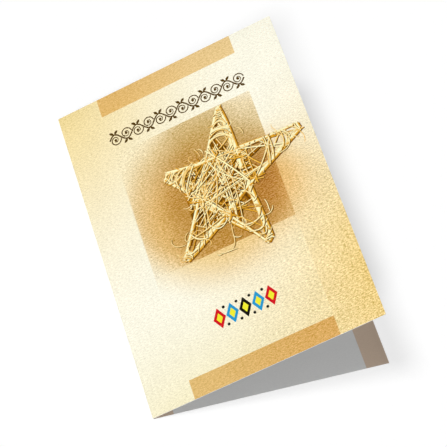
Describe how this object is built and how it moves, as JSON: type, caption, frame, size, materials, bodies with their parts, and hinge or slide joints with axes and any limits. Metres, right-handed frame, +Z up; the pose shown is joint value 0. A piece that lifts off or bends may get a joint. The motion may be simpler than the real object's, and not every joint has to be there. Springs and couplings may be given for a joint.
{
  "type": "greeting card",
  "caption": "Folded greeting card lying ajar on its back leaf: one creased sheet of textured card with a printed cover.",
  "frame": {"origin": "middle of the back leaf's outer face, which the card lies on; this is the bottom centre of its box", "axes": "+Z up, +Y along the crease to the card's top edge, +X from the crease to the fore-edges"},
  "size_m": [0.105, 0.148, 0.0535],
  "materials": {
    "printed_card": "matte uncoated card with a fine felt texture, cream and gold print outside, white inside"
  },
  "bodies": {
    "root": {"folded_card": "printed_card"}
  },
  "joints": []
}
